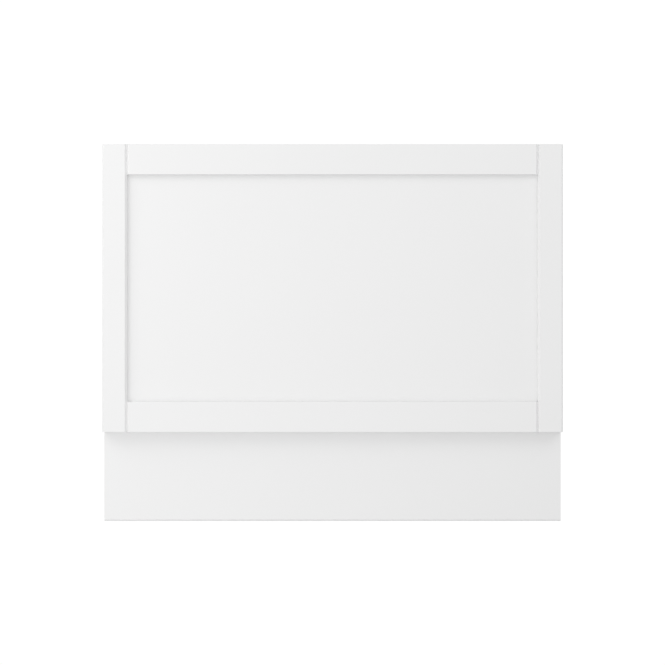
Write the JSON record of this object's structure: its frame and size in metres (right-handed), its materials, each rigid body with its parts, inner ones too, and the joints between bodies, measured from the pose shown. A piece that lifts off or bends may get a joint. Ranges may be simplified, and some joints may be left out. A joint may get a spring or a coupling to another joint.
{
  "type": "bath panel",
  "caption": "White shaker bath end panel: a stile-and-rail frame round a recessed flat field, over a set-back plinth board that reaches down to the floor.",
  "frame": {"origin": "on the floor, under the middle of the part's outline, with the part lying on its back", "axes": "+X across the panel to the right of someone facing it, +Y up the panel as it is fitted, +Z out of its face"},
  "size_m": [0.68, 0.559, 0.036],
  "materials": {
    "frame_paint": "satin white paint on moisture-resistant fibreboard",
    "field_paint": "satin white paint on thin fibreboard",
    "plinth_paint": "satin white foil on moisture-resistant fibreboard",
    "screw_steel": "bright zinc plate"
  },
  "bodies": {
    "root": {"left_stile": "frame_paint", "right_stile": "frame_paint", "top_rail": "frame_paint", "bottom_rail": "frame_paint", "centre_panel": "field_paint", "plinth_board": "plinth_paint"}
  },
  "joints": []
}
